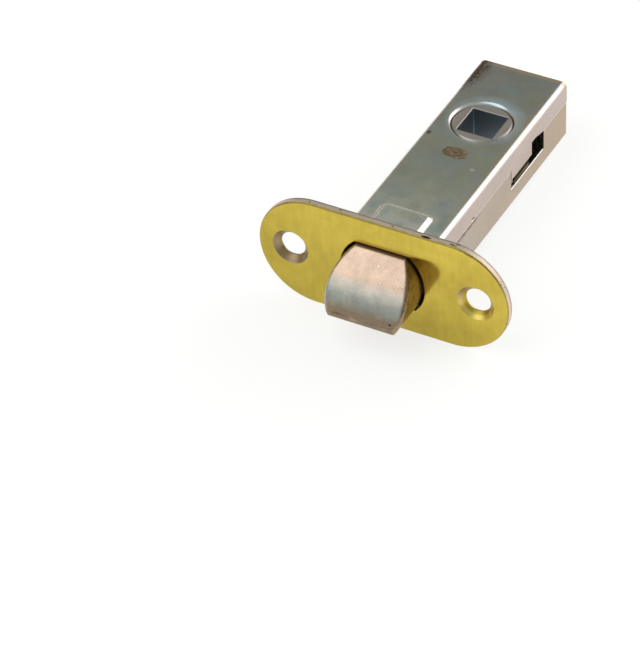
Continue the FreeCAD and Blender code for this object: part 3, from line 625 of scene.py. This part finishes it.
def finish_stake(look):
    """Plain steel, peened over and browned: tan lumps with dark dirt in the hollows."""
    material, tree, shader, place = start_material("peened_plain_steel")
    lumps = add_node(tree, "TexNoise", {
        "Vector": place, "Scale": 1 / 0.8, "Detail": 2.0, "Roughness": 0.5})
    axes = add_node(tree, "SeparateXYZ", (place,))
    raised = add_node(tree, "MapRange", (
        axes.outputs["Z"], CASE_CROWN - 0.02, CASE_CROWN + 0.12))
    tan = add_node(tree, "Mix", {
        "Factor": add_node(tree, "Math", (
            raised, add_node(tree, "MapRange", (lumps, 0.25, 0.6))), operation="MULTIPLY"),
        "A": look.stake_dark, "B": look.stake}, data_type="RGBA")
    feed(shader, {
        "Base Color": tan,
        "Roughness": add_node(tree, "MapRange", (lumps, 0.2, 0.8, 0.55, 0.35)),
        "Normal": add_node(tree, "Bump", {
            "Height": lumps, "Strength": 0.4, "Distance": 0.12 * MM})})
    return material


def finish_plain(name, shade, roughness, mottle):
    """Plain steel as it comes off the tool, with a film of oil: dark satin, faintly mottled.
    The mottle is in millimetres."""
    material, tree, shader, place = start_material(name)
    cloud = add_node(tree, "TexNoise", {
        "Vector": place, "Scale": 1 / mottle, "Detail": 4.0, "Roughness": 0.6})
    final = add_node(tree, "VectorMath", {
        0: shade,
        "Scale": add_node(tree, "MapRange", (cloud, 0.3, 0.7, 0.75, 1.15))}, operation="SCALE")
    feed(shader, {
        "Base Color": final,
        "Roughness": add_node(tree, "MapRange", (
            cloud, 0.0, 1.0, roughness - 0.1, roughness + 0.1))})
    return material


def dress(node, material):
    """Gives a CAD node's own object its material."""
    piece = frame["nodes"][node]
    if not piece.material_slots:
        piece.data.materials.append(material)
    for slot in piece.material_slots:
        slot.material = material


class LATCH_OT_forend(bpy.types.Operator):
    """Plates and brushes the forend"""
    bl_idname = "latch.forend"
    bl_label = "Forend"

    def execute(self, context):
        dress("forend", finish_forend(context.scene.latch_finish))
        return {"FINISHED"}


class LATCH_OT_case(bpy.types.Operator):
    """Zinc plates both halves of the case"""
    bl_idname = "latch.case"
    bl_label = "Case"

    def execute(self, context):
        look = context.scene.latch_finish
        dress("case_upper_shell", finish_case(
            "bright_zinc_plated_steel", look, look.zinc_side, look.zinc_side))
        dress("case_lower_shell", finish_case(
            "creamy_zinc_plated_steel", look, look.zinc_base, look.zinc_low))
        return {"FINISHED"}


class LATCH_OT_bolt(bpy.types.Operator):
    """Plates the bolt"""
    bl_idname = "latch.bolt"
    bl_label = "Bolt"

    def execute(self, context):
        dress("latch_bolt", finish_bolt(context.scene.latch_finish))
        return {"FINISHED"}


class LATCH_OT_works(bpy.types.Operator):
    """Finishes the follower, the retractor, the pin and the bridge"""
    bl_idname = "latch.works"
    bl_label = "Works"

    def execute(self, context):
        look = context.scene.latch_finish
        dress("follower", finish_follower(look))
        oiled = finish_plain("oiled_plain_steel", look.oiled, 0.45, 2.0)
        for node in ("retractor", "guide_pin"):
            dress(node, oiled)
        dress("spring_bridge", finish_plain("browned_plain_steel", look.stake_dark, 0.5, 0.8))
        return {"FINISHED"}


class LATCH_OT_spring(bpy.types.Operator):
    """Puts in a copy of the bolt's spring, carried by the case"""
    bl_idname = "latch.spring"
    bl_label = "Spring"

    def execute(self, context):
        coil = frame["nodes"]["bolt_spring"].data.copy()
        spring = bpy.data.objects.new("coiled_bolt_spring", coil)
        context.scene.collection.objects.link(spring)
        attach(spring, "case")
        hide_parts("bolt_spring")
        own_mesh(spring)
        look = context.scene.latch_finish
        coil.materials.clear()
        coil.materials.append(finish_plain("drawn_spring_wire", look.wire, 0.35, 1.0))
        return {"FINISHED"}


def peened_head(name, middle, halves, top, foot):
    """A closed oval lump, beaten into hollows on top and sunk at both ends, from its middle,
    half sizes, top and foot in millimetres."""
    steps, rings = 48, 9
    squareness = 0.75, 0.85
    waver, lump, end_sink, brim_sink, mean_sink = 0.05, 0.07, 0.14, 0.05, 0.1

    def beaten(x, y, share):
        lumps = lump * math.sin(2.9 * x + 0.6) * math.cos(3.4 * y - 0.5 + 0.8 * x)
        ends = end_sink * max(0.0, (abs(x) / halves[0] - 0.72) / 0.28) ** 1.5
        return top - mean_sink + lumps - ends - brim_sink * share ** 6

    form = bmesh.new()

    def ring(share, height):
        made = []
        for step in range(steps):
            turn = 2 * math.pi * step / steps
            x, y = (math.copysign(abs(part) ** power, part) * half * share
                    for part, power, half in zip((math.cos(turn), math.sin(turn)),
                                                 squareness, halves))
            x += waver * math.sin(5 * turn + 0.7) * share
            made.append(form.verts.new(((middle[0] + x) * MM, (middle[1] + y) * MM,
                                        height(x, y, share) * MM)))
        return made

    levels = [ring(1.0, lambda x, y, share: foot)]
    levels += [ring(1.0 - step / rings, beaten) for step in range(rings)]
    for outer, inner in zip(levels, levels[1:]):
        for step in range(steps):
            after = (step + 1) % steps
            form.faces.new((outer[step], outer[after], inner[after], inner[step]))
    form.faces.new(levels[-1])
    form.faces.new(list(reversed(levels[0])))
    for face in form.faces:
        face.smooth = True
    mesh = bpy.data.meshes.new(name)
    form.to_mesh(mesh)
    form.free()
    head = bpy.data.objects.new(name, mesh)
    bpy.context.scene.collection.objects.link(head)
    return head


class LATCH_OT_stake(bpy.types.Operator):
    """Peens the end of the bridge over in its oval hole"""
    bl_idname = "latch.stake"
    bl_label = "Stake"

    def execute(self, context):
        head = peened_head("stake_head", (STAKE_SHIFT, BRIDGE_MIDDLE), STAKE_HALVES,
                           CASE_CROWN + STAKE_RISE, TAB_TOP - STAKE_FOOT)
        head.data.materials.append(finish_stake(context.scene.latch_finish))
        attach(head, "case")
        return {"FINISHED"}


class LATCH_OT_stage(bpy.types.Operator):
    """Sets up the camera, the floor and the light"""
    bl_idname = "latch.stage"
    bl_label = "Stage"

    def execute(self, context):
        stage = context.scene.latch_stage
        place_camera(context.scene, stage)
        lay_floor(context.scene, stage)
        light_world(context.scene, stage)
        hang_lamps(context.scene)
        context.scene.view_settings.view_transform = "Standard"
        return {"FINISHED"}


def place_camera(scene, stage):
    """Puts the camera at the photograph's viewing angle."""
    turn, rise, roll = stage.azimuth, stage.elevation, stage.roll
    back = Vector((math.sin(turn) * math.cos(rise), -math.cos(turn) * math.cos(rise),
                   math.sin(rise)))
    level = Vector((math.cos(turn), math.sin(turn), 0.0))
    upright = back.cross(level)
    right = level * math.cos(roll) + upright * math.sin(roll)
    up = upright * math.cos(roll) - level * math.sin(roll)
    data = bpy.data.cameras.new("camera")
    data.lens = stage.lens
    data.sensor_width = SENSOR_WIDTH
    data.clip_start, data.clip_end = 0.01, 20.0
    camera = bpy.data.objects.new("camera", data)
    place = Vector(stage.target) + back * stage.distance
    axes = Matrix((right, up, back)).transposed()
    camera.matrix_world = Matrix.Translation(place) @ axes.to_4x4()
    scene.collection.objects.link(camera)
    scene.camera = camera


def lay_floor(scene, stage):
    """A pale floor that touches the forend's lower edge and the case's far end."""
    mesh = bpy.data.meshes.new("floor")
    slope = (CASE_FLOOR + ROUND_RADIUS) / CASE_END
    corners = [(x * FLOOR_HALF, y * FLOOR_HALF, slope * y * FLOOR_HALF - ROUND_RADIUS * MM)
               for x, y in ((-1, -1), (1, -1), (1, 1), (-1, 1))]
    mesh.from_pydata(corners, [], [(0, 1, 2, 3)])
    floor = bpy.data.objects.new("floor", mesh)
    scene.collection.objects.link(floor)
    material = bpy.data.materials.new("pale_floor")
    material.use_nodes = True
    tree = material.node_tree
    tree.nodes.clear()
    rays = add_node(tree, "LightPath")
    seen = add_node(tree, "Math", (
        rays.outputs["Is Camera Ray"], rays.outputs["Is Glossy Ray"]), operation="MAXIMUM")
    shown = add_node(tree, "Math", (
        seen, rays.outputs["Is Transmission Ray"]), operation="MAXIMUM")
    matt = add_node(tree, "BsdfDiffuse", (stage.floor,))
    paper = add_node(tree, "BsdfDiffuse", (grey(PAPER_LEVEL),))
    glow = add_node(tree, "Emission", (grey(1.0), PAPER_GLOW))
    white = add_node(tree, "AddShader", (paper, glow))
    surface = add_node(tree, "MixShader", (shown, matt, white))
    add_node(tree, "OutputMaterial", (surface,))
    mesh.materials.append(material)


def light_world(scene, stage):
    """Studio light: warm grey near the floor, cooler overhead."""
    world = bpy.data.worlds.new("studio")
    world.use_nodes = True
    tree = world.node_tree
    tree.nodes.clear()
    direction = add_node(tree, "TexCoord")
    axes = add_node(tree, "SeparateXYZ", (direction.outputs["Generated"],))
    sky = add_node(tree, "ValToRGB", (axes.outputs["Z"],))
    ramp_stops(sky, [(0.2, stage.low_sky), (0.42, stage.high_sky)])
    light = add_node(tree, "Background", (sky, 1.0))
    add_node(tree, "OutputWorld", (light,))
    scene.world = world


def hang_lamps(scene):
    """Softboxes, each with the radiance that a white card in it would show."""
    for name, direction, distance, extent, radiance in LAMPS:
        data = bpy.data.lights.new(name, "AREA")
        data.shape = "RECTANGLE"
        data.size, data.size_y = extent
        data.energy = radiance * math.pi * extent[0] * extent[1]
        lamp = bpy.data.objects.new(name, data)
        way = Vector(direction).normalized()
        lamp.location = Vector(LAMP_AIM) + way * distance
        lamp.rotation_mode = "QUATERNION"
        lamp.rotation_quaternion = way.to_track_quat("Z", "Y")
        scene.collection.objects.link(lamp)


class LATCH_PT_panel(bpy.types.Panel):
    """The latch's finishes and stage"""
    bl_label = "Tubular latch"
    bl_space_type = "VIEW_3D"
    bl_region_type = "UI"
    bl_category = "Latch"

    def draw(self, context):
        layout = self.layout
        for settings in (context.scene.latch_finish, context.scene.latch_stage):
            for name in settings.__annotations__:
                layout.prop(settings, name)
        for operator in OPERATORS:
            layout.operator(operator.bl_idname)


OPERATORS = (LATCH_OT_forend, LATCH_OT_case, LATCH_OT_bolt, LATCH_OT_works, LATCH_OT_spring,
             LATCH_OT_stake, LATCH_OT_stage)
CLASSES = (LatchFinish, LatchStage) + OPERATORS + (LATCH_PT_panel,)


def register():
    for item in CLASSES:
        bpy.utils.register_class(item)
    bpy.types.Scene.latch_finish = PointerProperty(type=LatchFinish)
    bpy.types.Scene.latch_stage = PointerProperty(type=LatchStage)


def unregister():
    del bpy.types.Scene.latch_stage
    del bpy.types.Scene.latch_finish
    for item in reversed(CLASSES):
        bpy.utils.unregister_class(item)


def main():
    """Registers the add-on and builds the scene."""
    register()
    bpy.ops.latch.stage()
    bpy.ops.latch.forend()
    bpy.ops.latch.case()
    bpy.ops.latch.bolt()
    bpy.ops.latch.works()
    bpy.ops.latch.spring()
    bpy.ops.latch.stake()


if __name__ == "__main__":
    main()
